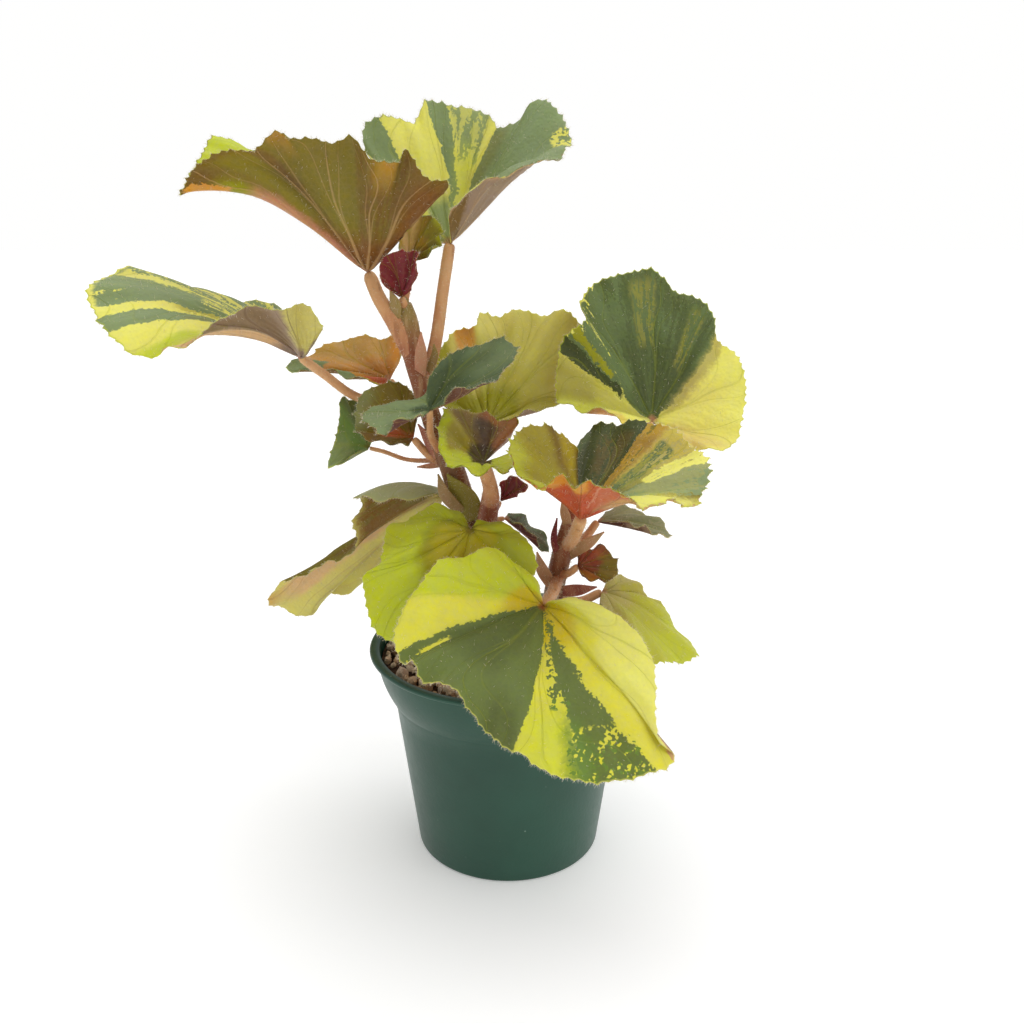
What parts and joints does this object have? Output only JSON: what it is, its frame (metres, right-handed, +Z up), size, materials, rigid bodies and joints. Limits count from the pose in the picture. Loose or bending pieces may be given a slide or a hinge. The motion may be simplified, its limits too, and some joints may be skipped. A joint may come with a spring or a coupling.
{
  "type": "potted plant",
  "caption": "Shrubby begonia with broad, toothed, hairy variegated leaves on two short canes, in a round plastic nursery pot with a rolled lip.",
  "frame": {"origin": "centre of the pot's flat base", "axes": "+X to the right and +Y away from the viewer of the picture, +Z up along the pot's axis"},
  "size_m": [0.2043, 0.1317, 0.239],
  "materials": {
    "leaf": "living leaf: yellow-green and grey-green streaks, satin, fine pale hairs",
    "young_leaf": "living young leaf: crimson to red-brown, satin, fine pale hairs",
    "stem": "living stem: red-brown to peach, satin, fine pale hairs",
    "pot_plastic": "dark green satin plastic",
    "soil_mix": "dark potting soil topped with tan pumice grit"
  },
  "bodies": {
    "root": {"pot": "pot_plastic", "soil": "soil_mix", "cane_left": "stem", "cane_right": "stem", "leaf_top_left": "leaf", "leaf_top_right": "leaf", "leaf_far_left": "leaf", "leaf_orange": "leaf", "leaf_small_left": "leaf", "leaf_centre": "leaf", "leaf_centre_back": "leaf", "leaf_back": "leaf", "leaf_cup_middle": "leaf", "leaf_right": "leaf", "leaf_cup_right": "leaf", "leaf_thin_right": "leaf", "leaf_low_right": "leaf", "leaf_front": "leaf", "leaf_front_left": "leaf", "leaf_low_left": "leaf", "leaf_young_lime": "leaf", "leaf_curled": "leaf", "leaf_young_crimson": "young_leaf", "leaf_young_purple": "young_leaf", "leaf_red_brown": "young_leaf"}
  },
  "joints": []
}
